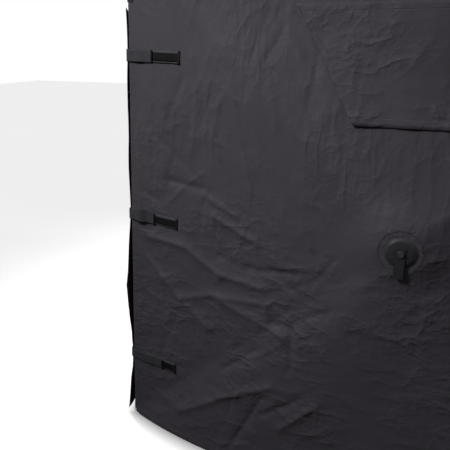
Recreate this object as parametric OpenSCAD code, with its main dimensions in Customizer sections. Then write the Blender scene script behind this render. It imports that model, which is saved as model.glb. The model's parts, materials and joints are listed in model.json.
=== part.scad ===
// Pop-up ground blind: a square cloth shelter on hub-and-pole walls and roof.
// Origin at the middle of the footprint on the ground, +Z up, the front wall faces -Y.
// Every wall and the roof is a shallow cloth pyramid whose hub pops in and out. Each of its
// triangular panels hinges on its own hem or edge, and carries the poles along its ridges.

/* [Shelter] */
// Width of the square footprint at the ground, over the cloth
floor_w = 1830; // [1760:10:1900]
// Width of the square eave, over the cloth
eave_w = 1730; // [1690:10:1790]
// Height of the eave seam above the ground
eave_z = 1650; // [1600:10:1700]
// How far a wall's hub stands out of its flat wall
wall_bulge = 150; // [135:5:155]
// How far the roof's hub stands above the eave
roof_rise = 230; // [210:5:235]
// How far the bottom hem is drawn out at the middle of a wall
hem_flare = 120; // [80:5:130]

/* [Cloth] */
// Thickness of a cloth panel with its hems and coating
cloth_t = 1.2; // [1:0.1:1.4]
// Width of the hook-and-loop straps
tab_w = 38; // [30:1:44]
// Width of the hook tape sewn on a patch
hook_w = 25; // [20:1:28]

/* [Frame] */
// Diameter of a fibreglass pole
pole_d = 9.5; // [8.5:0.5:9.5]
// Radius of a hub's plates
hub_r = 58; // [56:1:60]
// Radius of the cap outside a hub
cap_r = 40; // [34:1:46]

/* [Door and windows] */
// Distance from the corner to the door's fold
door_w = 520; // [480:10:540]
// Height of a window
window_h = 270; // [230:10:280]
// Width of a window along its top
window_w = 620; // [560:10:640]
// Width of a window along its bottom
window_low_w = 260; // [200:10:300]
// Distance from the eave down to a window
window_drop = 203; // [195:1:210]

/* [Hidden] */
$fn = 48;
WALLS = ["front", "right", "back", "left"];
SIDES = ["bottom", "right", "top", "left"];
BOTTOM = 0;
RIGHT = 1;
TOP = 2;
LEFT = 3;
FRONT_WALL = 0;
LEFT_WALL = 3;

// Cloth lies outside the plane of the poles and hinge lines
cloth_off = 12;
hem_z = 20;
hem_lift = 4;
floor_half = floor_w / 2 - cloth_off;
eave_half = eave_w / 2 - cloth_off;

// One wall, flat, in its own plane: a trapezoid with its hub where the diagonals cross
wall_run = floor_half - eave_half;
wall_rise = eave_z - hem_z;
wall_h = norm([wall_run, wall_rise]);
wall_tilt = atan(wall_run / wall_rise);
edge_lean = atan(wall_run / wall_h);
hub_h = wall_h * floor_half / (floor_half + eave_half);
side_reach = (floor_half - hub_h * tan(edge_lean)) * cos(edge_lean);
edge_below = sqrt(pow(floor_half, 2) + pow(hub_h, 2) - pow(side_reach, 2));
edge_above = sqrt(pow(eave_half, 2) + pow(wall_h - hub_h, 2) - pow(side_reach, 2));

// For each side of a wall: distance from hinge to hub, ends of the hinge, turn in the wall
reach = [hub_h, side_reach, wall_h - hub_h, side_reach];
end_a = [floor_half, edge_below, eave_half, edge_above];
end_b = [floor_half, edge_above, eave_half, edge_below];
turn = [0, -90 - edge_lean, 180, 90 + edge_lean];

// Clearances of the panels: from a ridge, from a hinge line, from a hub, from a corner
ridge_gap = 4;
hinge_gap = 14;
hub_gap = 75;
corner_gap = 40;
hem_corner_gap = 62;

// Poles, their ball tips and the cups that hold them
pole_r = pole_d / 2;
tip_r = 7.5;
cup_play = 0.3;
cup_r = 10.3;
wall_tip_inset = 38;
roof_tip_inset = 75;
// How far a pole's end stays from the hub's middle: it slides inwards as the panel goes flat
pole_hub_gap = 36;
roof_pole_hub_gap = 49;

// Hub: two plates on four spacers and a boss, with the pole ends free between them
plate_gap = 17;
plate_t = 3;
boss_r = 10;
spacer_r = 4;
spacer_at = 45;
cap_play = 1.5;
cap_t = 7;
bolt_r = 4;
bolt_head_r = 9;
bolt_head_t = 4;

// Webbing
strap_w = 25;
strap_t = 2.4;
strap_l = 68;
strap_top = 14;

// Layers outside the cloth: door and covers, hook patches, tabs
layer_gap = 1.3;
flap_in = cloth_off + layer_gap;
flap_out = flap_in + cloth_t;
patch_in = cloth_off + 0.3;
patch_t = 1.5;
tab_in = patch_in + patch_t + 0.4;
tab_t = 1.6;

// Door outline: distances from the corner, and heights along the corner from its lower end
corner_lap = 9;
door_low = 45;
door_high = 1450;
door_fold_low = 560;
door_fold_high = 1095;
door_lap = 18;
cover_lap = 25;
cover_head = 13;

// Tabs and patches: height along the corner, reach of the tab's free end, reach of the patch
tab_names = ["tab_upper", "tab_middle", "tab_lower"];
tab_h = [1312, 794, 247];
tab_l = [83, 90, 125];
patch_end = 182;
patch_start = 40;
tab_root = 25;
tab_start = -6;

// Seam tape: a thin angle over the cloth along each seam
tape_t = 1.2;
tape_w = 20;
tape_in = cloth_off + 0.6;
tape_lap = 9;
tape_end_gap = 34;

// Stake loops
loop_w = 30;
loop_start = 22;
loop_end = 92;
loop_t = 1.8;
grommet_at = 74;
grommet_hole_r = 5;
grommet_r = 6.8;
grommet_flange_r = 9.5;
grommet_flange_t = 0.7;

cloth_rgb = [0.22, 0.215, 0.235];
trim_rgb = [0.05, 0.05, 0.055];
pole_rgb = [0.1, 0.1, 0.1];
plastic_rgb = [0.08, 0.08, 0.085];
metal_rgb = [0.55, 0.55, 0.55];

// ---- frames ----

// A wall's own frame: x along it to the right seen from outside, z up its slope, -y outward
module on_wall(k) {
    rotate([0, 0, 90 * k]) translate([0, -floor_half, hem_z]) rotate([-wall_tilt, 0, 0]) children();
}

// A panel's frame: x on its hinge line, z towards the hub in the plane of its poles
module on_facet(k, s) {
    on_wall(k) translate([0, 0, hub_h]) rotate([0, turn[s], 0]) translate([0, 0, -reach[s]])
        rotate([atan(wall_bulge / reach[s]), 0, 0]) children();
}

module on_roof_facet(k) {
    translate([0, 0, eave_z]) rotate([0, 0, 90 * k]) translate([0, -eave_half, 0])
        rotate([atan(roof_rise / eave_half) - 90, 0, 0]) children();
}

module on_wall_hub(k) {
    on_wall(k) translate([0, -wall_bulge, hub_h]) children();
}

module on_roof_hub() {
    translate([0, 0, eave_z + roof_rise]) rotate([-90, 0, 0]) children();
}

// ---- cloth panels ----

// A sheet outside the frame plane, from an outline in a panel's x and z
module sheet(inner, thick) {
    rotate([90, 0, 0]) translate([0, 0, inner]) linear_extrude(thick) children();
}

// Where a ridge from the hinge end c to the hub passes height z, kept off by ridge_gap
function ridge_x(c, z, r) = c * (1 - z / r) - sign(c) * ridge_gap * norm([c, r]) / r;
function ridge_z(c, r) = r * (corner_gap - ridge_gap * norm([c, r]) / r) / abs(c);

module facet_outline(a, b, r) {
    top = r - hub_gap;
    polygon([
        [corner_gap - a, hinge_gap], [b - corner_gap, hinge_gap], [b - corner_gap, ridge_z(b, r)],
        [ridge_x(b, top, r), top], [ridge_x(-a, top, r), top], [corner_gap - a, ridge_z(a, r)]]);
}

// A window, wider along its top, grown by lap for its cover, which starts above its head
module window_outline(lap, head) {
    top = window_drop - head;
    low = window_drop + window_h + lap;
    wide = window_w / 2 + lap;
    narrow = window_low_w / 2 + lap;
    polygon([[-wide, top], [wide, top], [narrow, low], [-narrow, low]]);
}

// The door in the frame of the left wall's right panel, shrunk by lap for its doorway
module door_outline(lap) {
    start = lap > 0 ? -20 : -corner_lap;
    fold = door_w - 2 - lap;
    polygon([
        [door_low + lap - edge_below, start], [door_high - lap - edge_below, start],
        [door_fold_high - lap - edge_below, fold], [door_fold_low + lap - edge_below, fold]]);
}

module plain_panel(s) {
    color(cloth_rgb) sheet(cloth_off - cloth_t, cloth_t) facet_outline(end_a[s], end_b[s], reach[s]);
}

module window_panel() {
    color(cloth_rgb) sheet(cloth_off - cloth_t, cloth_t) difference() {
        facet_outline(end_a[TOP], end_b[TOP], reach[TOP]);
        window_outline(0, 0);
    }
}

module door_panel() {
    color(cloth_rgb) sheet(cloth_off - cloth_t, cloth_t) difference() {
        facet_outline(end_a[RIGHT], end_b[RIGHT], reach[RIGHT]);
        door_outline(door_lap);
    }
}

module roof_panel() {
    color(cloth_rgb) sheet(cloth_off - cloth_t, cloth_t)
        facet_outline(eave_half, eave_half, eave_half);
}

// The bottom panel runs from the hub down to a hem drawn outward along the ground
hem_steps = 12;
hem_half = floor_w / 2 - hem_corner_gap;
low_tilt = atan(wall_bulge / hub_h) - wall_tilt;
function hem_point(u) = [u * hem_half,
    -floor_w / 2 - hem_flare * (1 - pow(abs(u * hem_half) / (floor_w / 2), 3)), hem_lift];
function low_panel_top(u) = [u * ridge_x(floor_half, hub_h - hub_gap, hub_h),
    -cloth_off * cos(low_tilt) - (hub_h - hub_gap) * sin(low_tilt) - floor_half,
    -cloth_off * sin(low_tilt) + (hub_h - hub_gap) * cos(low_tilt) + hem_z];

module bottom_panel() {
    n = hem_steps;
    us = [for (i = [0:n]) 2 * i / n - 1];
    in = [0, cloth_t, 0];
    pts = concat([for (u = us) hem_point(u)], [for (u = us) low_panel_top(u)],
        [for (u = us) hem_point(u) + in], [for (u = us) low_panel_top(u) + in]);
    t = n + 1;
    ib = 2 * t;
    it = 3 * t;
    color(cloth_rgb) polyhedron(pts, concat(
        [for (i = [0:n - 1]) [i, t + i, t + i + 1]], [for (i = [0:n - 1]) [i, t + i + 1, i + 1]],
        [for (i = [0:n - 1]) [ib + i, it + i + 1, it + i]],
        [for (i = [0:n - 1]) [ib + i, ib + i + 1, it + i + 1]],
        [for (i = [0:n - 1]) [i, i + 1, ib + i + 1, ib + i]],
        [for (i = [0:n - 1]) [t + i, it + i, it + i + 1, t + i + 1]],
        [[0, ib, it, t], [n, t + n, it + n, ib + n]]));
}

module wall_panel(k, s) {
    if (s == BOTTOM) rotate([0, 0, 90 * k]) bottom_panel();
    else on_facet(k, s) {
        if (s == TOP) window_panel();
        else if (k == LEFT_WALL && s == RIGHT) door_panel();
        else plain_panel(s);
    }
}

module window_cover() {
    color(cloth_rgb) sheet(flap_in, cloth_t) window_outline(cover_lap, cover_head);
}

// ---- poles ----

module pole(tip_x, hub_at, end_gap) {
    run = norm([tip_x, hub_at]);
    lean = atan2(-tip_x, hub_at);
    translate([tip_x, 0, 0]) rotate([0, lean, 0]) {
        cylinder(r = pole_r, h = run - end_gap);
        sphere(r = tip_r);
    }
}

module wall_pole_pair(half, r) {
    color(pole_rgb) for (side = [-1, 1])
        pole(side * (half - wall_tip_inset), norm([r, wall_bulge]), pole_hub_gap);
}

module roof_pole_pair() {
    color(pole_rgb) for (side = [-1, 1])
        pole(side * (eave_half - roof_tip_inset), norm([eave_half, roof_rise]), roof_pole_hub_gap);
}

// ---- hubs ----

// A hub's parts are turned about y, which is the way out through the cloth
module disc(r, from, to) {
    rotate([90, 0, 0]) translate([0, 0, from]) cylinder(r = r, h = to - from);
}

module hub() {
    color(plastic_rgb) {
        disc(hub_r, plate_gap, plate_gap + plate_t);
        disc(hub_r, -plate_gap - plate_t, -plate_gap);
        disc(boss_r, -plate_gap, plate_gap);
        for (a = [0:90:270]) rotate([0, a, 0]) translate([spacer_at, 0, 0])
            disc(spacer_r, -plate_gap, plate_gap);
    }
}

cap_in = plate_gap + plate_t + cap_play;
cap_out = cap_in + cap_t;

module hub_cap() {
    color(plastic_rgb) {
        rotate([90, 0, 0]) translate([0, 0, cap_in]) rotate_extrude() polygon([
            [0, 0], [cap_r, 0], [cap_r, 2], [cap_r - 8, cap_t - 1.5], [cap_r - 22, cap_t], [0, cap_t]]);
        disc(bolt_r, cap_out, cap_out + strap_t + 0.4);
        disc(bolt_head_r, cap_out + strap_t + 0.4, cap_out + strap_t + 0.4 + bolt_head_t);
    }
}

module pull_strap() {
    color(trim_rgb) difference() {
        rotate([90, 0, 0]) translate([-strap_w / 2, -strap_l, cap_out + 0.2])
            cube([strap_w, strap_l + strap_top, strap_t]);
        disc(bolt_r + 0.3, cap_out - 1, cap_out + strap_t + 1);
    }
}

// ---- corner boots ----

module cup(h) {
    difference() {
        cylinder(r = cup_r, h = h);
        translate([0, 0, h]) sphere(r = tip_r + cup_play);
    }
}

// Two cups, one on each hem line, joined by a flat foot under the corner post
module bottom_boot() {
    foot_w = 18;
    for (a = [0, 1]) mirror([a, -a, 0]) {
        translate([-wall_tip_inset, 0, 0]) cup(hem_z);
        translate([-wall_tip_inset, -foot_w / 2, 0]) cube([wall_tip_inset, foot_w, 4]);
    }
    cylinder(r = 9, h = 4);
    cylinder(r = 7.5, h = 30);
}

// Two cups face down on the eave, and webs join them to the corner post and the roof's cup
module top_boot() {
    web_w = 10;
    web_z = 4;
    tip_gap = tip_r + 1.5;
    web_inset = wall_tip_inset - tip_gap;
    roof_web_inset = roof_tip_inset - tip_r + 0.5;
    for (a = [0, 1]) mirror([a, -a, 0]) {
        translate([-wall_tip_inset, 0, cup_r]) mirror([0, 0, 1]) cup(cup_r);
        translate([-web_inset, -web_w / 2, web_z]) cube([web_inset, web_w, cup_r - web_z]);
    }
    translate([-roof_web_inset, -web_w / 2, web_z])
        cube([roof_web_inset - wall_tip_inset - tip_gap, web_w, cup_r - web_z]);
    translate([-roof_tip_inset, 0, 0]) roof_cup();
    translate([0, 0, -28]) cylinder(r = 7.5, h = 28 + cup_r);
}

// The roof pole's cup opens sideways, into the shelter
module roof_cup() {
    translate([0, cup_r, 0]) rotate([90, 0, 0]) cup(cup_r);
}

module at_corners(half, z) {
    for (sx = [-1, 1], sy = [-1, 1]) scale([sx, sy, 1]) translate([half, half, z]) children();
}

module bottom_boots() {
    color(plastic_rgb) at_corners(floor_half, 0) bottom_boot();
}

module top_boots() {
    color(plastic_rgb) at_corners(eave_half, eave_z) top_boot();
}

// ---- seams and stake loops ----

module tape_leg(from, to) {
    sheet(tape_in, tape_t) translate([from, -tape_lap]) square([to - from, tape_w]);
}

module corner_tape(k) {
    next = (k + 1) % 4;
    low = k == LEFT_WALL ? door_high + 16 : tape_end_gap;
    on_facet(k, RIGHT) tape_leg(low - edge_below, edge_above - tape_end_gap);
    on_facet(next, LEFT) tape_leg(tape_end_gap - edge_above, edge_below - low);
}

module eave_tape(k) {
    run = eave_half - tape_end_gap;
    on_facet(k, TOP) tape_leg(-run, run);
    on_roof_facet(k) tape_leg(-run, run);
}

module seam_tapes() {
    color(trim_rgb) for (k = [0:3]) {
        corner_tape(k);
        eave_tape(k);
    }
}

// Every corner but the door's has a stake loop
module at_stakes() {
    for (a = [-45, 45, 135]) rotate([0, 0, a]) translate([floor_half * sqrt(2), 0, 0]) children();
}

module stake_loops() {
    color(trim_rgb) at_stakes() difference() {
        translate([loop_start, -loop_w / 2, grommet_flange_t])
            cube([loop_end - loop_start, loop_w, loop_t]);
        translate([grommet_at, 0, -1]) cylinder(r = grommet_r + 0.3, h = 10);
    }
}

module stake_grommets() {
    flange = grommet_flange_t - 0.1;
    grommet_h = loop_t + 2 * grommet_flange_t;
    color(metal_rgb) at_stakes() translate([grommet_at, 0, 0]) rotate_extrude() polygon([
        [grommet_hole_r, 0], [grommet_flange_r, 0], [grommet_flange_r, flange], [grommet_r, flange],
        [grommet_r, grommet_h - flange], [grommet_flange_r, grommet_h - flange],
        [grommet_flange_r, grommet_h], [grommet_hole_r, grommet_h]]);
}

// ---- door, its tabs and their patches ----

module door_flap() {
    color(cloth_rgb) {
        sheet(flap_in, cloth_t) door_outline(0);
        for (h = tab_h) sheet(flap_out - 0.1, tab_t) translate([h - edge_below - tab_w / 2, -corner_lap])
            square([tab_w, tab_root]);
    }
}

module hook_patches() {
    color(trim_rgb) for (i = [0:2]) sheet(patch_in, patch_t)
        translate([edge_below - tab_h[i] - hook_w / 2, patch_start])
            square([hook_w, patch_end - patch_start]);
}

module tab(i) {
    color(cloth_rgb) sheet(tab_in, tab_t) translate([edge_below - tab_h[i] - tab_w / 2, tab_start])
        square([tab_w, tab_l[i] - tab_start]);
}

// ---- nodes ----

bottom_boots();
top_boots();
seam_tapes();
stake_loops();
stake_grommets();
for (k = [0:3]) {
    w = str(WALLS[k], "_wall");
    for (s = [0:3])
        wall_panel(k, s);
    on_facet(k, BOTTOM) wall_pole_pair(floor_half, reach[BOTTOM]);
    on_facet(k, TOP) wall_pole_pair(eave_half, reach[TOP]);
    on_wall_hub(k) hub();
    on_wall_hub(k) hub_cap();
    on_wall_hub(k) pull_strap();
    on_facet(k, TOP) window_cover();
    on_roof_facet(k) roof_panel();
}
on_roof_facet(0) roof_pole_pair();  // roof_poles_front
on_roof_facet(2) roof_pole_pair();  // roof_poles_back
on_roof_hub() hub();  // roof_hub
on_roof_hub() hub_cap();  // roof_hub_cap
on_roof_hub() pull_strap();  // roof_pull_strap
on_facet(LEFT_WALL, RIGHT) door_flap();
on_facet(FRONT_WALL, LEFT) hook_patches();
for (i = [0:2])
    on_facet(FRONT_WALL, LEFT) tab(i);
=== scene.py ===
"""Looks of a pop-up ground blind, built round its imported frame. Metres, +Z up, front wall to -Y."""

import json
import math

import bmesh
import bpy
import numpy as np
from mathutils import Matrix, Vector


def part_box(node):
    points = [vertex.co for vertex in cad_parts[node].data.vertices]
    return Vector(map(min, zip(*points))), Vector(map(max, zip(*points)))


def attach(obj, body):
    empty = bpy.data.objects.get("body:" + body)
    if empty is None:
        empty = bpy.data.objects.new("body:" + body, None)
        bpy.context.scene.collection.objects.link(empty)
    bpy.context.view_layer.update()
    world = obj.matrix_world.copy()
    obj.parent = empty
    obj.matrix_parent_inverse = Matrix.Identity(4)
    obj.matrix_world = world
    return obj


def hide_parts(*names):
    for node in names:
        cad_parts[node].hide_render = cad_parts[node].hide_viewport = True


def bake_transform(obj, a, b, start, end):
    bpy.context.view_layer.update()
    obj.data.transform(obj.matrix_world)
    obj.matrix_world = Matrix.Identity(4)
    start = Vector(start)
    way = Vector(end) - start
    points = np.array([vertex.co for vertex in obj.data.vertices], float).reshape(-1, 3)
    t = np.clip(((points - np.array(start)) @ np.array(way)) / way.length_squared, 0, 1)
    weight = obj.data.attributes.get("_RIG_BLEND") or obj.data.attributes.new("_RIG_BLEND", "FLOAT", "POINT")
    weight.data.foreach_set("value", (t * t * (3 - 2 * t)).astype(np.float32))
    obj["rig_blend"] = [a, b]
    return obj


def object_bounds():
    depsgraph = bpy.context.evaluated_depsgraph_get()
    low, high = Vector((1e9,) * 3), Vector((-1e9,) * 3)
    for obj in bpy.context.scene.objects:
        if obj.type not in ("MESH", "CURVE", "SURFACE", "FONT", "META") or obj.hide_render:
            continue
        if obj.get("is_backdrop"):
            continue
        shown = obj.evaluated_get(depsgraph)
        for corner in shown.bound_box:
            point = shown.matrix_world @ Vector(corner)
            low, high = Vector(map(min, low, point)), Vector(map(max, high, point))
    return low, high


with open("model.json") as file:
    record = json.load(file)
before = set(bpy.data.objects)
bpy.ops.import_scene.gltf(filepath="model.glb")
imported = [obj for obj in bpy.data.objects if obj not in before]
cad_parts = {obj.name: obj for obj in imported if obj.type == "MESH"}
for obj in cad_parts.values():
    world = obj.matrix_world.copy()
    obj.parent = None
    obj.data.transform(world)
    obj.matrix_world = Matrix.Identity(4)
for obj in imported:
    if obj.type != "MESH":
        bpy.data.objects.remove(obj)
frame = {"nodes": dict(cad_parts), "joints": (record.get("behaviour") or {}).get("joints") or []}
cad_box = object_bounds()

WALLS = ("front", "right", "back", "left")
SIDES = ("bottom", "right", "top", "left")
BOTTOM, RIGHT, TOP, LEFT = range(4)
JOINTS = {joint["name"]: joint for joint in frame["joints"]}

# Cloth: its outer face off the hinges' plane, its thickness, and the gap to a sheet over it
CLOTH_OFF = 0.01218
CLOTH_T = 0.0012
LAYER = 0.0013
SHEET_LIFT = LAYER + CLOTH_T
# How far a wall's hem bows out, and how far the cloth runs past its hinges
HEM_FLARE = 0.12
GROUND_LAP = 0.016
SEAM_LAP = 0.0085
# Stitching: its line from a sewn edge, and how much nearer the sides' edges count
STITCH_IN = 0.021
SIDE_STITCH = 0.012
# The hub clamps the cloth flat within the first radius, and draws it out to a cone in the second
HUB_HELD_R = 0.060
HUB_CONE_R = 0.175
HUB_CLOTH_OUT = 0.0207
RIDGE_BLUR = 0.009
# Wrinkles fade out towards hinges, hub and folds: where each fade starts, and how wide it is
HINGE_STILL, HINGE_FADE = 0.012, 0.07
HUB_FADE = 0.09
FOLD_STILL, FOLD_FADE = 0.008, 0.04
# Cloth over a pole sinks no deeper than this, and more only away from the pole
POLE_SINK, POLE_CLEAR, SINK_SLOPE = 0.003, 0.012, 0.35
# Creases listed below are made this much deeper and narrower
CREASE_DEEPER, CREASE_NARROWER = 1.7, 0.8
WALL_WAVES, ROOF_WAVES = 0.020, 0.012

# Webbing
TAB_W = 0.038
TAB_T = 0.0016
HOOK_W = 0.025
BINDING_W = 0.007
# Each layer's middle off the wall's cloth, and its thickness
MARGIN_LIFT, MARGIN_T = 0.0006, 0.0010
HOOKS_LIFT, HOOKS_T = 0.0014, 0.0010
BINDING_LIFT, BINDING_T = 0.0016, 0.0020
TAB_LIFT = 0.0034
# How far back from the corner the tabs are sewn to the door
DOOR_ROOT = 0.030
# The door's free edge runs this far past its hinge line; its curl and droop fade behind it
DOOR_PAST = 0.009
CURL_FADE = 0.030
DROOP, DROOP_FADE = 0.056, 0.12


# ---- places on a wall or the roof ----


def smooth(x):
    x = np.clip(x, 0, 1)
    return x * x * (3 - 2 * x)


def centre(node):
    low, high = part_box(node)
    return np.array((low + high) / 2)


def vertices_of_mesh(mesh):
    co = np.zeros(len(mesh.vertices) * 3, np.float32)
    mesh.vertices.foreach_get("co", co)
    return co.reshape(-1, 3).astype(float)


def vertices_of(node):
    return vertices_of_mesh(frame["nodes"][node].data)


def distance_to(x, z, points):
    """How far flat places are from a line of straight stretches."""
    near = np.full(np.shape(x), 9.0)
    for (ax, az), (bx, bz) in zip(points, points[1:]):
        dx, dz = bx - ax, bz - az
        s = np.clip(((x - ax) * dx + (z - az) * dz) / (dx * dx + dz * dz), 0, 1)
        near = np.minimum(near, np.hypot(x - ax - s * dx, z - az - s * dz))
    return near


class Side:
    """A hinged edge of a wall or the roof, in flat places: runs along it, and inward from it."""

    def __init__(self, foot, hub):
        to_hub = hub - foot
        self.foot = foot
        self.reach = np.linalg.norm(to_hub)
        self.inward = to_hub / self.reach
        self.run = np.array([self.inward[1], -self.inward[0]])
        if self.run.sum() < 0:
            self.run = -self.run

    def depth(self, x, z):
        return (x - self.foot[0]) * self.inward[0] + (z - self.foot[1]) * self.inward[1]

    def along(self, x, z):
        return (x - self.foot[0]) * self.run[0] + (z - self.foot[1]) * self.run[1]

    def flat(self, along, depth):
        """The flat place at a distance along this edge from its foot, and a depth inward from it."""
        along, depth = np.asarray(along, float), np.asarray(depth, float)
        return (
            self.foot[0] + along * self.run[0] + depth * self.inward[0],
            self.foot[1] + along * self.run[1] + depth * self.inward[1],
        )


class Pyramid:
    """A wall or the roof: a flat four-sided outline that its hub lifts into a shallow pyramid.

    A flat place is (x, z): x along the lowest hinge from its middle, z up the slope from it."""

    cell = 0.005
    margin = 0.07

    def __init__(self, name, hinges, pop, hub, flare=0.0):
        self.name = name
        self.hub_body = hub
        self.origin = np.array(JOINTS[hinges[0]]["pos_m"])
        self.x = np.array(JOINTS[hinges[0]]["axis"])
        self.out = np.array(JOINTS[pop]["axis"])
        self.up = np.cross(self.out, self.x)
        self.flare = flare
        to_hub = centre(hub) - self.origin
        self.hub = np.array([0.0, to_hub @ self.up])
        self.rise = to_hub @ self.out
        self.sides = [Side(self.flat_of(np.array(JOINTS[h]["pos_m"])), self.hub) for h in hinges]
        self.top = self.sides[TOP].foot[1]
        self.half_low = self.half(0)

    def flat_of(self, points):
        """Flat places of points in space, as an array of (x, z)."""
        away = points - self.origin
        return np.stack([away @ self.x, away @ self.up], axis=-1)

    def half(self, z):
        """Half the width between the side hinges at height z."""
        side = self.sides[RIGHT]
        return side.foot[0] - (z - side.foot[1]) * side.inward[1] / side.inward[0]

    def fraction(self, x, z):
        """0 on the hinges, 1 at the hub."""
        return np.minimum.reduce([s.depth(x, z) / s.reach for s in self.sides])

    def edge(self, x, z):
        """Distance inward from the nearest hinge."""
        return np.minimum.reduce([s.depth(x, z) for s in self.sides])

    def corner(self, right, upper):
        z = self.top if upper else 0.0
        return np.array([self.half(z) * (1 if right else -1), z])

    def ridge(self, x, z):
        """Distance from the nearest pole."""
        corners = [self.corner(r, u) for r in (0, 1) for u in (0, 1)]
        return np.minimum.reduce([distance_to(x, z, [c, self.hub]) for c in corners])

    def plain(self, x, z):
        """Height of the taut cloth over its flat outline: pyramid, flared hem, cone at the hub."""
        t = self.fraction(x, z)
        height = self.rise * t + CLOTH_OFF
        if self.flare:
            low = np.clip(z / self.hub[1], -0.1, 0.98)
            u = np.abs(x) / (self.half_low * (1 - low))
            height += self.flare * np.clip(1 - u**3, 0, 1) * (1 - low) * (z < self.hub[1])
        return height + (self.rise + HUB_CLOTH_OUT - height) * self.held(x, z)

    def held(self, x, z):
        """1 where the hub clamps the cloth, falling to 0 on the free cloth round it."""
        away = np.hypot(x - self.hub[0], z - self.hub[1])
        return (1 - np.clip((away - HUB_HELD_R) / (HUB_CONE_R - HUB_HELD_R), 0, 1)) ** 2

    def shape(self, wrinkles, folds):
        """Fixes the cloth's surface: the taut shape, softened over the poles, and its wrinkles.

        folds are the straight lines that sheets turn on, where the cloth lies still."""
        wide = self.half_low + self.margin
        self.xs = np.arange(-wide, wide + self.cell, self.cell)
        self.zs = np.arange(-self.margin, self.top + self.margin + self.cell, self.cell)
        x, z = np.meshgrid(self.xs, self.zs)
        taut = blurred(self.plain(x, z), RIDGE_BLUR / self.cell)
        held = smooth((self.edge(x, z) - HINGE_STILL) / HINGE_FADE)
        held *= smooth((np.hypot(x, z - self.hub[1]) - HUB_HELD_R) / HUB_FADE)
        for fold in folds:
            held *= smooth((distance_to(x, z, fold) - FOLD_STILL) / FOLD_FADE)
        loose = wrinkles(x, z) * held
        least = -POLE_SINK - SINK_SLOPE * np.maximum(self.ridge(x, z) - POLE_CLEAR, 0)
        self.map = taut + np.maximum(loose, least)

    def height(self, x, z):
        i = np.clip((np.asarray(x, float) - self.xs[0]) / self.cell, 0, len(self.xs) - 1.001)
        j = np.clip((np.asarray(z, float) - self.zs[0]) / self.cell, 0, len(self.zs) - 1.001)
        i0, j0 = i.astype(int), j.astype(int)
        u, v = i - i0, j - j0
        low = self.map[j0, i0] * (1 - u) + self.map[j0, i0 + 1] * u
        high = self.map[j0 + 1, i0] * (1 - u) + self.map[j0 + 1, i0 + 1] * u
        return low * (1 - v) + high * v

    def place(self, x, z, lift=0.0):
        """Points in space on the cloth's outer face, or lift outside it."""
        x, z = np.asarray(x, float), np.asarray(z, float)
        out = self.height(x, z) + lift
        return self.origin + x[..., None] * self.x + z[..., None] * self.up + out[..., None] * self.out

    def share(self, x, z):
        """How much of the hub's travel each place of the cloth takes."""
        t = np.clip(self.fraction(x, z), 0, 1)
        return t + (1 - t) * self.held(x, z)


def blurred(a, sigma):
    """A map softened by a Gaussian of that many cells."""
    n = int(3 * sigma) + 1
    kernel = np.exp(-0.5 * (np.arange(-n, n + 1) / sigma) ** 2)
    kernel /= kernel.sum()
    for axis in (0, 1):
        pad = [(n, n) if k == axis else (0, 0) for k in (0, 1)]
        wide = np.pad(a, pad, mode="reflect", reflect_type="odd")
        a = np.apply_along_axis(lambda row: np.convolve(row, kernel, "valid"), axis, wide)
    return a


# ---- wrinkles ----

# Creases of the front wall: depth and width in millimetres, then the flat places they run through
FRONT_CREASES = (
    (2.5, 9, (-0.64, 1.31), (-0.62, 1.21), (-0.64, 1.03)),
    (2.5, 9, (-0.51, 1.25), (-0.46, 1.04), (-0.43, 0.93)),
    (2.0, 8, (-0.39, 1.25), (-0.36, 1.13)),
    (3.0, 10, (-0.45, 1.20), (-0.30, 0.93), (-0.24, 0.80)),
    (-2.0, 8, (-0.77, 1.07), (-0.62, 0.95)),
    (2.0, 8, (-0.82, 1.24), (-0.75, 1.11)),
    (-2.0, 9, (-0.67, 1.25), (-0.73, 1.12)),
    (2.0, 8, (-0.54, 1.19), (-0.57, 1.08), (-0.54, 1.02)),
    (-1.8, 7, (-0.36, 1.39), (-0.38, 1.35), (-0.41, 1.30)),
    (2.5, 9, (-0.35, 1.38), (-0.31, 1.31)),
    (-2.5, 8, (-0.29, 1.31), (-0.26, 1.28)),
    (-4.0, 11, (-0.72, 0.93), (-0.60, 0.92)),
    (3.5, 9, (-0.59, 0.90), (-0.48, 0.85)),
    (-3.5, 10, (-0.88, 0.89), (-0.77, 0.86)),
    (5.5, 13, (-0.56, 0.84), (-0.41, 0.78)),
    (6.5, 16, (-0.88, 0.73), (-0.67, 0.72), (-0.54, 0.65)),
    (5.0, 16, (-0.87, 0.69), (-0.69, 0.53), (-0.58, 0.45)),
    (-4.0, 12, (-0.44, 0.69), (-0.27, 0.71)),
    (5.5, 14, (-0.53, 0.65), (-0.39, 0.64)),
    (4.5, 14, (-0.69, 0.53), (-0.57, 0.57), (-0.36, 0.59)),
    (6.5, 20, (-0.53, 0.56), (-0.31, 0.50)),
    (-5.5, 16, (-0.35, 0.53), (-0.19, 0.61)),
    (-5.0, 14, (-0.28, 0.54), (-0.28, 0.40)),
    (-5.5, 16, (-0.52, 0.31), (-0.40, 0.42)),
    (6.5, 16, (-0.69, 0.09), (-0.51, 0.22), (-0.34, 0.32)),
    (-5.5, 14, (-0.48, 0.03), (-0.37, 0.26)),
    (-4.0, 12, (-0.37, 0.20), (-0.26, 0.29)),
    (5.0, 14, (-0.30, 0.18), (-0.20, 0.29)),
)


def crease_height(x, z, creases):
    total = np.zeros_like(x)
    for depth, width, *points in creases:
        away = distance_to(x, z, points) / (CREASE_NARROWER * width / 1000)
        total += CREASE_DEEPER * depth / 1000 * np.exp(-away)
    return total


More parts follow.
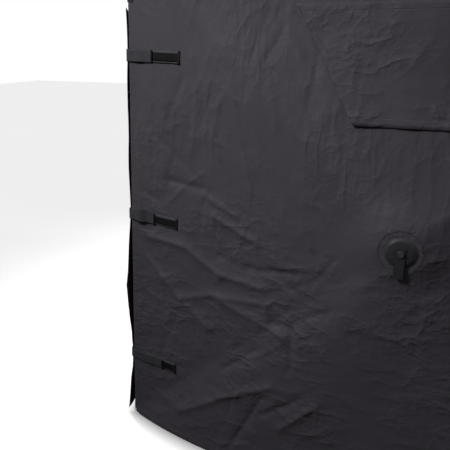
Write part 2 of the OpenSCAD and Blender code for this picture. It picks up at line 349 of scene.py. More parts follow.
def scattered_creases(face, seed, count):
    """Short bent creases all over a face: upright in its upper half, slanting and deeper below."""
    random = np.random.default_rng(seed)
    made = []
    for _ in range(count):
        at = np.array([random.uniform(-0.84, 0.84), random.uniform(0.05, face.top - 0.05)])
        low = at[1] < 0.58 * face.top
        slant = random.choice([-0.55, 0.35, 0.9]) if low else math.pi / 2
        heading = random.normal(slant, 0.35)
        length = random.uniform(0.06, 0.20) if low else random.uniform(0.10, 0.30)
        bend = random.normal(0, 0.3)
        step = length / 2 * np.array([math.cos(heading), math.sin(heading)])
        turn = length / 2 * np.array([math.cos(heading + bend), math.sin(heading + bend)])
        depth = random.choice([-1, 1]) * random.uniform(0.8, 2.2 if low else 1.3)
        made.append((depth, random.uniform(5, 12), tuple(at - step), tuple(at), tuple(at + turn)))
    return made


def billow(x, z, seed, waves=14):
    """Slow waves in the cloth."""
    random = np.random.default_rng(seed)
    total = np.zeros_like(x)
    for _ in range(waves):
        length = random.uniform(0.16, 0.6)
        heading = random.uniform(0, math.pi)
        phase = random.uniform(0, 2 * math.pi)
        k = 2 * math.pi / length
        total += length * np.sin(k * (x * math.cos(heading) + z * math.sin(heading)) + phase)
    return total / waves


# ---- meshes ----


def mesh_object(name, points, faces, uv=None):
    mesh = bpy.data.meshes.new(name)
    mesh.from_pydata([tuple(p) for p in points], [], [tuple(f) for f in faces])
    mesh.update()
    if uv is not None:
        layer = mesh.uv_layers.new(name="cloth")
        loops = np.zeros(len(mesh.loops), np.int32)
        mesh.loops.foreach_get("vertex_index", loops)
        layer.data.foreach_set("uv", np.asarray(uv, np.float32)[loops].ravel())
    mesh.polygons.foreach_set("use_smooth", [True] * len(mesh.polygons))
    piece = bpy.data.objects.new(name, mesh)
    bpy.context.scene.collection.objects.link(piece)
    return piece


def set_float(piece, name, values):
    attribute = piece.data.attributes.new(name, "FLOAT", "POINT")
    attribute.data.foreach_set("value", np.asarray(values, np.float32))


def steps(start, middle, end, fine, coarse):
    """Places along a side of a grid: close together up to the middle, wider apart after it."""
    return np.concatenate([np.linspace(start, middle, fine), np.linspace(middle, end, coarse + 1)[1:]])


def grid_faces(rows, columns):
    """Quads of a grid whose points are listed row by row, facing out for x right and z up."""
    first = (np.arange(rows - 1)[:, None] * columns + np.arange(columns - 1)).ravel()
    return np.stack([first, first + 1, first + columns + 1, first + columns], axis=1)


def cut_flat(x, z, faces, holes):
    """A flat grid with straight-edged convex holes cut out of it: places and faces."""
    cut = bmesh.new()
    corners = [cut.verts.new((a, b, 0)) for a, b in zip(x, z)]
    for face in faces:
        cut.faces.new([corners[i] for i in face])
    for hole in holes:
        middle = np.mean(hole, axis=0)
        for a, b in zip(hole, np.roll(hole, -1, axis=0)):
            normal = np.array([b[1] - a[1], a[0] - b[0]])
            everything = cut.verts[:] + cut.edges[:] + cut.faces[:]
            bmesh.ops.bisect_plane(
                cut, geom=everything, dist=1e-6,
                plane_co=(a[0], a[1], 0), plane_no=(normal[0], normal[1], 0),
            )
        gone = []
        for face in cut.faces:
            c = face.calc_center_median()
            sides = [
                (b[0] - a[0]) * (c.y - a[1]) - (b[1] - a[1]) * (c.x - a[0])
                for a, b in zip(hole, np.roll(hole, -1, axis=0))
            ]
            if min(sides) > 0 or max(sides) < 0:
                gone.append(face)
        bmesh.ops.delete(cut, geom=gone, context="FACES")
    cut.verts.index_update()
    places = np.array([v.co[:2] for v in cut.verts])
    kept = [[v.index for v in face.verts] for face in cut.faces]
    cut.free()
    return places[:, 0], places[:, 1], kept


def give_thickness(piece, thick, inside=None):
    """A thin sheet gets its back face and rim: its own face is the outer one."""
    modifier = piece.modifiers.new("thickness", "SOLIDIFY")
    modifier.thickness = thick
    modifier.offset = -1
    if inside:
        piece.data.materials.append(inside)
        modifier.material_offset = 1


# ---- materials ----


class Nodes:
    """A few short ways to wire a material."""

    def __init__(self, name):
        self.material = bpy.data.materials.new(name)
        self.material.use_nodes = True
        self.tree = self.material.node_tree
        self.shader = self.tree.nodes["Principled BSDF"]

    def feed(self, socket, value):
        if isinstance(value, bpy.types.NodeSocket):
            self.tree.links.new(value, socket)
        else:
            socket.default_value = value

    def math(self, operation, a, b=0.0, clamp=False):
        node = self.tree.nodes.new("ShaderNodeMath")
        node.operation, node.use_clamp = operation, clamp
        self.feed(node.inputs[0], a)
        self.feed(node.inputs[1], b)
        return node.outputs[0]

    def mapped(self, value, low, high, to_low=0.0, to_high=1.0):
        node = self.tree.nodes.new("ShaderNodeMapRange")
        for socket, number in zip(node.inputs, (value, low, high, to_low, to_high)):
            self.feed(socket, number)
        return node.outputs[0]

    def mix(self, share, a, b):
        node = self.tree.nodes.new("ShaderNodeMix")
        node.data_type = "RGBA"
        self.feed(node.inputs["Factor"], share)
        self.feed(node.inputs[6], a)
        self.feed(node.inputs[7], b)
        return node.outputs[2]

    def noise(self, where, scale, detail=3.0, rough=0.55):
        node = self.tree.nodes.new("ShaderNodeTexNoise")
        self.feed(node.inputs["Vector"], where)
        node.inputs["Scale"].default_value = scale
        node.inputs["Detail"].default_value = detail
        node.inputs["Roughness"].default_value = rough
        return node.outputs["Fac"]

    def waves(self, where, scale, direction, distortion=0.0):
        node = self.tree.nodes.new("ShaderNodeTexWave")
        node.bands_direction = direction
        self.feed(node.inputs["Vector"], where)
        node.inputs["Scale"].default_value = scale
        node.inputs["Distortion"].default_value = distortion
        return node.outputs["Fac"]

    def stretched(self, where, x, y):
        node = self.tree.nodes.new("ShaderNodeVectorMath")
        node.operation = "MULTIPLY"
        self.feed(node.inputs[0], where)
        node.inputs[1].default_value = (x, y, 1)
        return node.outputs[0]

    def ridged(self, where, scale, detail=3.0):
        """Sharp creases along the middle level of a noise."""
        level = self.math("SUBTRACT", self.noise(where, scale, detail, 0.45), 0.5)
        return self.math("POWER", self.mapped(self.math("ABSOLUTE", level), 0.0, 0.16, 1.0, 0.0), 2.2)

    def bump(self, height, distance, strength=1.0, before=None):
        node = self.tree.nodes.new("ShaderNodeBump")
        self.feed(node.inputs["Height"], height)
        node.inputs["Distance"].default_value = distance
        node.inputs["Strength"].default_value = strength
        if before is not None:
            self.feed(node.inputs["Normal"], before)
        return node.outputs[0]

    def uv(self):
        node = self.tree.nodes.new("ShaderNodeUVMap")
        node.uv_map = "cloth"
        return node.outputs[0]

    def object_place(self):
        return self.tree.nodes.new("ShaderNodeTexCoord").outputs["Object"]

    def attribute(self, name):
        node = self.tree.nodes.new("ShaderNodeAttribute")
        node.attribute_name = name
        return node.outputs["Fac"]

    def finish(self, colour, roughness, normal=None, **constants):
        self.feed(self.shader.inputs["Base Color"], colour)
        self.feed(self.shader.inputs["Roughness"], roughness)
        if normal is not None:
            self.feed(self.shader.inputs["Normal"], normal)
        for key, value in constants.items():
            self.shader.inputs[key.replace("_", " ")].default_value = value
        return self.material


def rgb(r, g, b):
    return (r, g, b, 1.0)


def cloth_material(name, colour, seamed=True, faded=0.10):
    """Coated plain-weave polyester: fine weave, faint handling marks and stitched hems, with painted shade
    in the stitch grooves.
    """
    n = Nodes(name)
    uv, place = n.uv(), n.object_place()
    weave = n.math("MULTIPLY", n.waves(uv, 260, "X", 0.6), n.waves(uv, 260, "Y", 0.6))
    patch = n.noise(place, 3.2, 5.0)
    grain = n.noise(place, 165, 3.0, 0.7)
    marks = n.noise(place, 34, 4.0, 0.7)
    tone = n.math("ADD", n.mapped(patch, 0.3, 0.7, -faded, faded), n.mapped(grain, 0.2, 0.8, -0.16, 0.16))
    tone = n.math("ADD", tone, n.mapped(marks, 0.35, 0.75, -0.04, 0.06))
    dark = tuple(c * 0.72 for c in colour)
    light = tuple(c * 1.28 for c in colour)
    share = n.math("ADD", tone, 0.5, clamp=True)
    height = n.tree.nodes.new("ShaderNodeSeparateXYZ")
    n.feed(height.inputs[0], uv)
    low = n.mapped(height.outputs[1], 1.05, 0.60)
    upright = n.ridged(n.stretched(uv, 1.0, 0.26), 11)
    level = n.ridged(n.stretched(uv, 0.6, 1.15), 9)
    slanting = n.ridged(n.stretched(place, 1.0, 1.0), 7, 5.0)
    high = n.math("SUBTRACT", 1.0, low)
    crinkle = n.math("ADD", n.math("MULTIPLY", level, low), n.math("MULTIPLY", upright, high))
    crinkle = n.math("ADD", crinkle, n.math("MULTIPLY", slanting, 0.8))
    crinkle = n.math("ADD", crinkle, n.math("MULTIPLY", n.ridged(place, 24, 2.0), 0.30))
    patchy = n.mapped(n.noise(place, 5.0, 2.0), 0.38, 0.62, 0.15, 1.0)
    crumpled = n.math("MULTIPLY", patchy, n.mapped(low, 0.0, 1.0, 0.65, 1.0))
    crinkle = n.math("MULTIPLY", crinkle, crumpled)
    normal = n.bump(weave, 0.0002, 0.35)
    normal = n.bump(grain, 0.0003, 0.25, normal)
    normal = n.bump(marks, 0.0015, 0.45, normal)
    normal = n.bump(crinkle, 0.0036, 1.0, normal)
    base = n.mix(share, rgb(*dark), rgb(*light))
    rough = n.mapped(marks, 0.3, 0.7, 0.66, 0.80)
    if seamed:
        away, run = n.attribute("seam_away"), n.attribute("seam_run")
        line = n.mapped(n.math("ABSOLUTE", n.math("SUBTRACT", away, STITCH_IN)), 0.0006, 0.0017, 1.0, 0.0)
        dash = n.mapped(n.math("SINE", n.math("MULTIPLY", run, 2 * math.pi / 0.0042)), -0.5, -0.2)
        thread = n.math("MULTIPLY", line, dash)
        fold = n.mapped(away, STITCH_IN, STITCH_IN + 0.0035, 1.0, 0.0)
        # painted shade: the stitch line's groove is darkened in the colour, as the shade that falls in it
        base = n.mix(n.math("MULTIPLY", line, 0.55), base, rgb(*(c * 0.35 for c in colour)))
        base = n.mix(n.math("MULTIPLY", thread, 0.8), base, rgb(*(c * 1.9 for c in colour)))
        normal = n.bump(fold, 0.0005, 0.8, normal)
        normal = n.bump(line, -0.0007, 1.0, normal)
    return n.finish(base, rough, normal, Specular_IOR_Level=0.22, Sheen_Weight=0.04, Sheen_Roughness=0.45)


def webbing_material(name, colour, laid_flat=True):
    """Woven polyester webbing: ribs across it and finer yarns along it."""
    n = Nodes(name)
    place = n.object_place()
    where = n.uv() if laid_flat else place
    ribs = n.waves(where, 95, "Y" if laid_flat else "Z", 0.8)
    yarns = n.waves(where, 190, "X" if laid_flat else "DIAGONAL", 0.5)
    fuzz = n.noise(place, 900, 2.0)
    mottle = n.noise(place, 170, 3.0, 0.65)
    tone = n.math("ADD", n.mapped(ribs, 0.0, 1.0, 0.25, 0.65), n.mapped(fuzz, 0.2, 0.8, -0.15, 0.15))
    tone = n.math("ADD", tone, n.mapped(mottle, 0.3, 0.7, -0.22, 0.22), clamp=True)
    base = n.mix(tone, rgb(*(c * 0.62 for c in colour)), rgb(*(c * 1.35 for c in colour)))
    normal = n.bump(ribs, 0.0005, 0.6)
    normal = n.bump(yarns, 0.0003, 0.4, normal)
    rough = n.mapped(fuzz, 0.2, 0.8, 0.62, 0.85)
    return n.finish(base, rough, normal, Specular_IOR_Level=0.2, Sheen_Weight=0.02)


def hook_material(name):
    """Hook tape: rows of stiff little hooks on a black ground."""
    n = Nodes(name)
    uv = n.uv()
    dots = n.tree.nodes.new("ShaderNodeTexVoronoi")
    n.feed(dots.inputs["Vector"], uv)
    dots.inputs["Scale"].default_value = 620
    hooks = n.mapped(dots.outputs["Distance"], 0.1, 0.6, 1.0, 0.0)
    clumps = n.noise(n.object_place(), 230, 3.0)
    share = n.math("MULTIPLY", hooks, n.mapped(clumps, 0.35, 0.65, 0.25, 1.0))
    base = n.mix(share, rgb(0.002, 0.0019, 0.0022), rgb(0.016, 0.0150, 0.0175))
    normal = n.bump(share, 0.0009, 1.0)
    return n.finish(base, 0.75, normal, Specular_IOR_Level=0.15)


def plastic_material(name, colour, gloss=0.42):
    """Moulded nylon: spark-eroded grain, scuffed on its edges."""
    n = Nodes(name)
    place = n.object_place()
    grain = n.noise(place, 1600, 2.0)
    scuffs = n.noise(place, 55, 6.0, 0.75)
    edge = n.tree.nodes.new("ShaderNodeNewGeometry").outputs["Pointiness"]
    wear = n.math("MULTIPLY", n.mapped(edge, 0.52, 0.60), n.mapped(scuffs, 0.4, 0.65))
    base = n.mix(wear, rgb(*colour), rgb(*(c * 2.2 + 0.01 for c in colour)))
    sheen = n.mapped(scuffs, 0.3, 0.7, gloss - 0.08, gloss + 0.12)
    rough = n.math("ADD", sheen, n.math("MULTIPLY", wear, 0.15))
    normal = n.bump(grain, 0.0002, 0.5)
    return n.finish(base, rough, normal, Specular_IOR_Level=0.45)


def pole_material(name):
    """Pultruded fibreglass rod: glass fibres run along it under a thin resin skin."""
    n = Nodes(name)
    place = n.object_place()
    fibres = n.noise(place, 240, 5.0, 0.8)
    skin = n.noise(place, 18, 3.0)
    base = n.mix(n.mapped(fibres, 0.35, 0.7), rgb(0.010, 0.010, 0.011), rgb(0.030, 0.029, 0.030))
    normal = n.bump(fibres, 0.0002, 0.4)
    rough = n.mapped(skin, 0.3, 0.7, 0.26, 0.44)
    return n.finish(base, rough, normal, Specular_IOR_Level=0.5, Coat_Weight=0.15)


def eyelet_material(name):
    """Painted brass eyelet, rubbed at its rim."""
    n = Nodes(name)
    place = n.object_place()
    rub = n.mapped(n.noise(place, 260, 5.0, 0.7), 0.5, 0.7)
    base = n.mix(rub, rgb(0.10, 0.10, 0.105), rgb(0.42, 0.40, 0.36))
    normal = n.bump(n.noise(place, 700, 2.0), 0.0001, 0.4)
    return n.finish(base, n.mapped(rub, 0.0, 1.0, 0.38, 0.24), normal, Metallic=1.0)


def floor_material(name):
    """A white sweep, pale, that glows as painted light beyond about a metre from its middle; the floor round
    the blind gets no glow, a painted shade round its foot.
    """
    n = Nodes(name)
    mottle = n.noise(n.object_place(), 1.4, 4.0)
    base = n.mix(n.mapped(mottle, 0.3, 0.7), rgb(0.78, 0.78, 0.78), rgb(0.82, 0.82, 0.82))
    place = n.tree.nodes.new("ShaderNodeSeparateXYZ")
    n.feed(place.inputs[0], n.object_place())
    across = [n.math("ABSOLUTE", place.outputs[k]) for k in (0, 1)]
    bow = n.math("POWER", n.math("MULTIPLY", n.math("MINIMUM", *across), 1.08), 3.0)
    away = n.math("ADD", n.math("MAXIMUM", *across), n.math("MULTIPLY", bow, 0.13))
    # painted light: emission starts about 1.04 m out, so the floor under and round the blind stays darker, a
    # painted shade round its foot
    n.feed(n.shader.inputs["Emission Strength"], n.mapped(away, 1.04, 1.09, 0.0, 0.55))
    return n.finish(base, 0.85, None, Specular_IOR_Level=0.2, Emission_Color=rgb(1, 1, 1))


CLOTH_RGB = (0.0455, 0.0408, 0.0505)
cloth_out = cloth_material("shelter_cloth", CLOTH_RGB)
cloth_in = cloth_material("cloth_backing", (0.012, 0.012, 0.013), seamed=False)
flap_out = cloth_material("flap_cloth", CLOTH_RGB)
webbing = webbing_material("black_webbing", (0.020, 0.019, 0.022), laid_flat=False)
tab_webbing = webbing_material("tab_webbing", (0.0345, 0.0330, 0.0400))
margin_webbing = webbing_material("patch_webbing", (0.048, 0.0455, 0.052))
binding = webbing_material("end_binding", (0.003, 0.003, 0.0033))
hooks = hook_material("hook_tape")
nylon = plastic_material("moulded_nylon", (0.018, 0.018, 0.019))
cap_nylon = plastic_material("cap_nylon", (0.024, 0.023, 0.026), 0.38)
fibreglass = pole_material("fibreglass_rod")
eyelet = eyelet_material("eyelet_brass")


# ---- the four walls and the roof ----

faces = {}
for wall in WALLS:
    faces[wall] = Pyramid(
        wall,
        [f"{wall}_wall_{side}_fold" for side in SIDES],
        f"{wall}_wall_pop",
        f"{wall}_wall_hub",
        HEM_FLARE,
    )
faces["roof"] = Pyramid("roof", [f"roof_{w}_fold" for w in WALLS], "roof_pop", "roof_hub")


def outline_in(node, face, side):
    """A four-cornered node on one side of a face: along and depth of its near and far edges."""
    x, z = face.flat_of(vertices_of(node)).T
    along, depth = side.along(x, z), side.depth(x, z)
    found = []
    for level in (depth.min(), depth.max()):
        on_it = along[np.abs(depth - level) < 0.003]
        found.append((on_it.min(), on_it.max(), level))
    return found


covers = {
    wall: outline_in(f"{wall}_wall_window_cover", faces[wall], faces[wall].sides[TOP]) for wall in WALLS
}
door = outline_in("door_flap", faces["left"], faces["left"].sides[RIGHT])


def fold_line(side, outline):
    """The flat line that a sheet turns on: its far edge for the door, near edge for a cover."""
    low, high, depth = outline
    return [tuple(float(v) for v in side.flat(along, depth)) for along in (low, high)]


CREASE_SEEDS = {"front": 5, "right": 11, "back": 23, "left": 37, "roof": 41}
CREASE_COUNT = {"front": 110, "right": 120, "back": 120, "left": 120, "roof": 70}
for name, face in faces.items():
    seed = CREASE_SEEDS[name]
    creases = scattered_creases(face, seed, CREASE_COUNT[name])
    if name == "front":
        creases += list(FRONT_CREASES)

    def wrinkles(x, z, face=face, creases=creases, seed=seed):
        slow = WALL_WAVES if face.flare else ROOF_WAVES
        return crease_height(x, z, creases) + slow * billow(x, z, seed)

    folds = [fold_line(face.sides[TOP], covers[name][0])] if name in covers else []
    if name == "left":
        folds.append(fold_line(face.sides[RIGHT], door[1]))
    face.shape(wrinkles, folds)


def hole_in(side, outline, near, far, ends):
    """The flat corners of an opening, inside a cover's outline by near, far and ends."""
    (a0, a1, near_depth), (b0, b1, far_depth) = outline
    rows = ((near_depth + near, a0, a1), (far_depth - far, b0, b1))
    (d0, l0, h0), (d1, l1, h1) = rows
    corners = [(l0 + ends, d0), (h0 - ends, d0), (h1 - ends, d1), (l1 + ends, d1)]
    return [tuple(float(v) for v in side.flat(a, d)) for a, d in corners]


def cloth_piece(name, face, columns, rows, holes, bodies, replaced):
    """One continuous sheet over a face's poles, sewn at its edges and carried in and out by its hub."""
    low = GROUND_LAP if face.flare else SEAM_LAP
    u, v = np.meshgrid(columns, rows)
    z = -low + v * (face.top + low + SEAM_LAP)
    x = u * (face.half(z) + SEAM_LAP)
    x, z, quads = cut_flat(x.ravel(), z.ravel(), grid_faces(len(rows), len(columns)), holes)
    if name == "front_cloth":
        x, z = rounded_corner(face, x, z, -low)
    points = face.place(x, z)
    piece = mesh_object(name, points, quads, np.stack([x, z], axis=1))
    away, run = seam_places(face, x, z, low, holes)
    set_float(piece, "seam_away", away)
    set_float(piece, "seam_run", run)
    piece.data.materials.append(cloth_out)
    give_thickness(piece, CLOTH_T, cloth_in)
    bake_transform(piece, "frame", face.hub_body, tuple(face.origin), tuple(centre(face.hub_body)))
    weights = piece.data.attributes["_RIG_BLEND"]
    weights.data.foreach_set("value", face.share(x, z).astype(np.float32))
    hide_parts(*replaced)


def rounded_corner(face, x, z, lowest, radius=0.030):
    """The free lower left corner of the front wall, cut round."""
    edge_x = -(face.half(z) + SEAM_LAP)
    a = np.clip((radius - (x - edge_x)) / radius, 0, 1)
    b = np.clip((radius - (z - lowest)) / radius, 0, 1)
    return (
        x + radius * (a - a * np.sqrt(1 - b * b / 2)),
        z + radius * (b - b * np.sqrt(1 - a * a / 2)),
    )


def seam_places(face, x, z, low, holes):
    """Distance from the nearest sewn edge, and the place along it, for stitching."""
    half = face.half(z) + SEAM_LAP
    edges = [
        (z + low, x), (face.top + SEAM_LAP - z, x), (half - x + SIDE_STITCH, z), (half + x + SIDE_STITCH, z),
    ]
    for hole in holes:
        for a, b in zip(hole, np.roll(hole, -1, axis=0)):
            run = (x - a[0]) * (b[0] - a[0]) + (z - a[1]) * (b[1] - a[1])
            edges.append((distance_to(x, z, [a, b]), run / math.dist(a, b)))
    away = np.array([e[0] for e in edges])
    nearest = away.argmin(axis=0)
    runs = np.array([e[1] for e in edges])
    return away.min(axis=0), np.take_along_axis(runs, nearest[None], axis=0)[0]


# How far covers and door lap over their openings, and how far the doorway runs past the corner
COVER_LAP, COVER_HEAD, DOOR_LAP, DOORWAY_PAST = 0.025, 0.013, 0.018, 0.03
for wall in WALLS:
    face = faces[wall]
    holes = [hole_in(face.sides[TOP], covers[wall], COVER_HEAD, COVER_LAP, COVER_LAP)]
    if wall == "left":
        (low, high, near), (fold_low, fold_high, fold) = door
        corners = [
            (low + DOOR_LAP, -DOORWAY_PAST), (high - DOOR_LAP, -DOORWAY_PAST),
            (fold_high - DOOR_LAP, fold - DOOR_LAP), (fold_low + DOOR_LAP, fold - DOOR_LAP),
        ]
        holes.append([tuple(float(v) for v in face.sides[RIGHT].flat(a, d)) for a, d in corners])
    fine = np.linspace(-1, 1, 150), np.linspace(0, 1, 138)
    if wall == "front":
        fine = steps(-1, -0.15, 1, 138, 74), steps(0, 0.6, 1, 148, 62)
    panels = [f"{wall}_wall_panel_{side}" for side in SIDES]
    rests = [f"{wall}_wall_poles_upper", f"{wall}_wall_poles_lower", f"{wall}_wall_hub"]
    cloth_piece(f"{wall}_cloth", face, *fine, holes, rests, panels)
cloth_piece(
    "roof_cloth", faces["roof"], np.linspace(-1, 1, 140), np.linspace(0, 1, 140), [],
    ["roof_poles_front", "roof_poles_back", "roof_hub"], [f"roof_panel_{w}" for w in WALLS],
)


# ---- sheets over the walls: window covers and the door ----


def side_sheet(name, face, side, outline, columns, rows, lift, reshape=None):
    """A four-cornered sheet on one side of a face, lying lift outside its cloth."""
    (a0, a1, near), (b0, b1, far) = outline
    u, v = np.meshgrid(np.linspace(0, 1, columns), np.linspace(0, 1, rows))
    depth = near + (far - near) * v
    along = (a0 + (a1 - a0) * u) * (1 - v) + (b0 + (b1 - b0) * u) * v
    flat_along, flat_depth = along.copy(), depth.copy()
    extra = np.full_like(depth, lift)
    if reshape:
        along, depth, extra = reshape(u, v, along, depth, extra)
    x, z = side.flat(along, depth)
    points = face.place(x, z, extra).reshape(-1, 3)
    quads = grid_faces(rows, columns)
    a, b, c = points[quads[0][0]], points[quads[0][1]], points[quads[0][2]]
    if np.cross(b - a, c - b) @ face.out < 0:
        quads = quads[:, ::-1]
    piece = mesh_object(name, points, quads, np.stack([flat_along, flat_depth], -1).reshape(-1, 2))
    width = a1 - a0 + (b1 - b0 - a1 + a0) * v
    edges = np.stack([u * width, (1 - u) * width, flat_depth - near, far - flat_depth])
    runs = np.stack([flat_depth, flat_depth, flat_along, flat_along])
    nearest = edges.argmin(axis=0)
    set_float(piece, "seam_away", edges.min(axis=0).ravel())
    set_float(piece, "seam_run", np.take_along_axis(runs, nearest[None], axis=0)[0].ravel())
    piece.data.materials.append(flap_out)
    give_thickness(piece, CLOTH_T, cloth_in)
    return piece


left_side = faces["left"].sides[RIGHT]


def cover_shape(seed):
    def reshape(u, v, along, depth, extra):
        ripple = np.sin(u * 17 + seed) * 0.0012 * v + 0.0025 * np.abs(2 * u - 1) ** 6 * v
        return along, depth, extra + ripple + 0.003 * v**6
    return reshape


for number, wall in enumerate(WALLS):
    face = faces[wall]
    piece = side_sheet(
        f"{wall}_window_cover", face, face.sides[TOP], covers[wall], 61, 31,
        SHEET_LIFT, cover_shape(number),
    )
    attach(piece, f"{wall}_wall_window_cover")
    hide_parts(f"{wall}_wall_window_cover")


# How far the door's free edge stands off the corner, in millimetres, at heights up it
DOOR_EDGE = (
    (-0.02, 26), (0.05, 22), (0.10, 15), (0.16, 9), (0.20, 3), (0.25, 1), (0.30, 5), (0.34, 6),
    (0.405, 12), (0.46, 16), (0.52, 22), (0.58, 16), (0.66, 10), (0.74, 4), (0.80, 1), (0.86, 3),
    (0.95, 4), (1.05, 3), (1.15, 5), (1.24, 3), (1.31, 1), (1.38, 3), (1.46, 5),
)


def door_shape(u, v, along, depth, extra):
    """The door's free edge curls out between the tabs that hold it."""
    height = along - left_side.along(*faces["left"].corner(True, False))
    curl = np.interp(height, *zip(*DOOR_EDGE)) / 1000
    wander = 0.003 * np.sin(height * 23.0 + 1.0) * (1 - v) ** 10
    inside = depth + DOOR_PAST
    droop = DROOP * (1 - u) ** 12 * np.exp(-((inside / DROOP_FADE) ** 2))
    return along - droop, depth + wander, extra + curl * np.exp(-inside / CURL_FADE)


piece = side_sheet("corner_door", faces["left"], left_side, door, 181, 71, SHEET_LIFT, door_shape)
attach(piece, "door_flap")
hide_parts("door_flap")


# ---- webbing: tabs, hook patches, pull straps ----


def ribbon(name, path, across, width, thick, material, columns=9):
    """Flat webbing along a path: across is the way over its width at each point."""
    path, across = np.asarray(path, float), np.asarray(across, float)
    ahead = np.gradient(path, axis=0)
    normal = np.cross(across, ahead)
    normal /= np.linalg.norm(normal, axis=1)[:, None]
    u = np.linspace(-1, 1, columns)
    soft = np.sqrt(np.clip(1 - np.abs(u) ** 8, 0.0, 1))
    rim = [(a * width / 2, s * thick / 2) for a, s in zip(u, soft)]
    rim += [(a * width / 2, -s * thick / 2) for a, s in zip(u[-2:0:-1], soft[-2:0:-1])]
    run = np.concatenate([[0], np.cumsum(np.linalg.norm(np.diff(path, axis=0), axis=1))])
    points, uv = [], []
    for p, a, m, r in zip(path, across, normal, run):
        for wide, high in rim:
            points.append(p + a * wide + m * high)
            uv.append((wide, r))
    n, k = len(path), len(rim)
    quads = [(i * k + j, i * k + (j + 1) % k, (i + 1) * k + (j + 1) % k, (i + 1) * k + j)
             for i in range(n - 1) for j in range(k)]
    ends = [tuple(range(k))[::-1], tuple(range((n - 1) * k, n * k))]
    piece = mesh_object(name, points, quads + ends, uv)
    piece.data.materials.append(material)
    return piece


# Each tab's height up the corner, its reach along the wall, how far it puffs off the wall, and how
# much wider it looks where it humps
TABS = {
    "upper": {"height": 1.312, "reach": 0.083, "puff": 0.004, "arch": 0.001},
    "middle": {"height": 0.794, "reach": 0.090, "puff": 0.010, "arch": 0.012},
    "lower": {"height": 0.247, "reach": 0.125, "puff": 0.003, "arch": 0.001},
}
PATCH_FROM, PATCH_TO = 0.045, 0.182
front, left = faces["front"], faces["left"]
front_left = front.sides[LEFT]


def corner_row(face, side, height, depths, lift):
    """Points across a side at one height up the corner."""
    along = side.along(*face.corner(side is face.sides[RIGHT], False))
    step = 1 if along < 0 else -1
    x, z = side.flat(np.full(len(depths), along + step * height), depths)
    return face.place(x, z, lift)


def sewn_on(piece, face):
    """A piece sewn flat on a face's cloth moves just as the cloth under it does."""
    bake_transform(piece, "frame", face.hub_body, tuple(face.origin), tuple(centre(face.hub_body)))
    x, z = face.flat_of(vertices_of_mesh(piece.data)).T
    piece.data.attributes["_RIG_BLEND"].data.foreach_set("value", face.share(x, z).astype(np.float32))


def corner_up(face, side):
    low = np.array(face.corner(side is face.sides[RIGHT], False))
    high = np.array(face.corner(side is face.sides[RIGHT], True))
    a, b = face.place(*low), face.place(*high)
    return (b - a) / np.linalg.norm(b - a)


UP_CORNER = corner_up(front, front_left)


def tab(name, height, reach, puff, arch):
    """A webbing tab, sewn to the door, that comes round the corner onto its patch."""
    back = corner_row(left, left_side, height, np.linspace(DOOR_ROOT, 0.0, 8), LAYER + 2 * CLOTH_T + 0.0012)
    s = np.linspace(0.006, reach, 22)
    over = TAB_LIFT + puff * np.sin(np.pi * np.clip(s / (reach * 0.72), 0, 1)) ** 2
    ahead = corner_row(front, front_left, height, s, over)
    a, b = back[-1], ahead[0]
    bend = [
        (1 - t) ** 3 * a + 3 * (1 - t) ** 2 * t * (a + (back[-1] - back[-2]) * 2.2 + left.out * 0.016)
        + 3 * (1 - t) * t**2 * (b - (ahead[1] - ahead[0]) * 1.6 + front.out * 0.002) + t**3 * b
        for t in np.linspace(0, 1, 12)[1:-1]
    ]
    path = np.concatenate([back, bend, ahead])
    across = np.tile(UP_CORNER, (len(path), 1))
    swell = np.zeros(len(path))
    swell[-len(s):] = arch * np.sin(np.pi * np.clip(s / reach, 0, 1)) ** 0.7
    path = path + swell[:, None] * UP_CORNER / 2
    across = across * (1 + swell / TAB_W)[:, None]
    strap = ribbon(f"tab_{name}_webbing", path, across, TAB_W, TAB_T, tab_webbing, 13)
    start, end = back[-2], ahead[2]
    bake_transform(strap, "door_flap", f"tab_{name}", tuple(start), tuple(end))
    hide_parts(f"tab_{name}")
    tip = path[-2:] + front.out * 0.0004
    tip = np.concatenate([tip, tip[-1:] + (tip[-1:] - tip[-2:-1]) * 0.3])
    band = ribbon(f"tab_{name}_binding", tip, across[-3:], TAB_W + 0.0022, TAB_T + 0.0018, binding)
    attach(band, f"tab_{name}")


def hook_patch(name, height):
    """Webbing sewn on the front wall with hook tape down its middle and a bound end."""
    s = np.linspace(PATCH_FROM, PATCH_TO, 24)
    across = np.tile(UP_CORNER, (len(s), 1))
    base = ribbon(
        f"patch_{name}_webbing", corner_row(front, front_left, height, s, MARGIN_LIFT), across,
        TAB_W, MARGIN_T, margin_webbing,
    )
    tape = ribbon(
        f"patch_{name}_hooks", corner_row(front, front_left, height, s, HOOKS_LIFT), across,
        HOOK_W, HOOKS_T, hooks,
    )
    end = np.linspace(PATCH_TO - BINDING_W, PATCH_TO + 0.001, 5)
    band = ribbon(
        f"patch_{name}_binding", corner_row(front, front_left, height, end, BINDING_LIFT),
        across[:5], TAB_W + 0.003, BINDING_T, binding,
    )
    for piece, slot in ((base, "webbing"), (tape, "hook_tape"), (band, "webbing")):
        sewn_on(piece, front)
    return tape


for name, sizes in TABS.items():
    tab(name, **sizes)
    tape = hook_patch(name, sizes["height"])
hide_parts("hook_patches")


# ---- the frame's own parts ----


def paint(node, material):
    piece = frame["nodes"][node]
    piece.data.materials.clear()
    piece.data.materials.append(material)


for node in frame["nodes"]:
    if "poles" in node:
        paint(node, fibreglass)
    elif node.endswith("_hub_cap"):
        paint(node, cap_nylon)
    elif node.endswith("_hub") or node.endswith("_boots"):
        paint(node, nylon)
    elif node == "stake_grommets":
        paint(node, eyelet)
    elif node.endswith("_strap") or node in ("seam_tapes", "stake_loops"):
        paint(node, webbing)


# ---- stage, light and camera ----


def area_light(name, place, target, size, power, spread):
    data = bpy.data.lights.new(name, "AREA")
    data.shape, data.size, data.energy, data.spread = "DISK", size, power, math.radians(spread)
    light = bpy.data.objects.new(name, data)
    light.location = place
    light.rotation_euler = (Vector(target) - Vector(place)).to_track_quat("-Z", "Y").to_euler()
    bpy.context.scene.collection.objects.link(light)


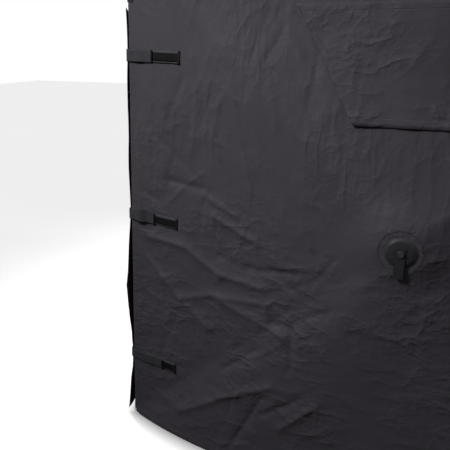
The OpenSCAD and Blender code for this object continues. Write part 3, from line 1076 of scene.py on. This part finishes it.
def studio():
    scene = bpy.context.scene
    floor = mesh_object("floor", [(-14, -14, 0), (14, -14, 0), (14, 14, 0), (-14, 14, 0)], [(0, 1, 2, 3)])
    floor.data.materials.append(floor_material("glowing_pale_floor"))
    floor.visible_diffuse = floor.visible_glossy = False
    floor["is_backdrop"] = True
    world = bpy.data.worlds.new("studio")
    scene.world = world
    world.use_nodes = True
    tree = world.node_tree
    light = tree.nodes["Background"]
    parts = tree.nodes.new("ShaderNodeSeparateXYZ")
    tree.links.new(tree.nodes.new("ShaderNodeTexCoord").outputs["Generated"], parts.inputs[0])
    sky = tree.nodes.new("ShaderNodeMapRange")
    for socket, number in zip(sky.inputs[1:], (-0.05, 1.0, 0.03, 0.55)):
        socket.default_value = number
    tree.links.new(parts.outputs["Z"], sky.inputs[0])
    tree.links.new(sky.outputs[0], light.inputs["Strength"])
    light.inputs["Color"].default_value = rgb(1, 1, 1)
    seen = tree.nodes.new("ShaderNodeBackground")
    seen.inputs["Strength"].default_value = 1.0
    seen.inputs["Color"].default_value = rgb(1, 1, 1)
    mix = tree.nodes.new("ShaderNodeMixShader")
    tree.links.new(tree.nodes.new("ShaderNodeLightPath").outputs["Is Camera Ray"], mix.inputs[0])
    tree.links.new(light.outputs[0], mix.inputs[1])
    tree.links.new(seen.outputs[0], mix.inputs[2])
    tree.links.new(mix.outputs[0], tree.nodes["World Output"].inputs["Surface"])
    area_light("key", (-2.3, -2.8, 3.2), (-0.4, -0.9, 1.06), 0.8, 10.9, 54)
    area_light("right_fill", (3.0, 1.5, 3.2), (0.9, 0.1, 1.0), 0.8, 11, 60)
    area_light("back_fill", (-0.9, 3.2, 3.2), (0.0, 0.9, 1.0), 0.8, 11, 60)
    area_light("left_fill", (-3.1, 1.3, 3.2), (-0.9, 0.2, 1.0), 0.8, 11, 60)
    area_light("top_fill", (0.9, 0.6, 4.6), (0.0, 0.1, 1.8), 0.8, 9, 46)
    scene.view_settings.view_transform = "Standard"


def camera():
    azimuth, pitch = math.radians(21.49), math.radians(19.40)
    level = math.cos(pitch)
    ahead = Vector((-math.sin(azimuth) * level, math.cos(azimuth) * level, -math.sin(pitch)))
    data = bpy.data.cameras.new("camera")
    data.sensor_width = 36
    data.lens = 41.6
    view = bpy.data.objects.new("camera", data)
    view.location = (0.0329, -2.3536, 1.3711)
    view.rotation_euler = ahead.to_track_quat("-Z", "Y").to_euler()
    bpy.context.scene.collection.objects.link(view)
    bpy.context.scene.camera = view


studio()
camera()
sizes = {"cad": [list(c) for c in cad_box], "visual": [list(c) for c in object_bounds()]}
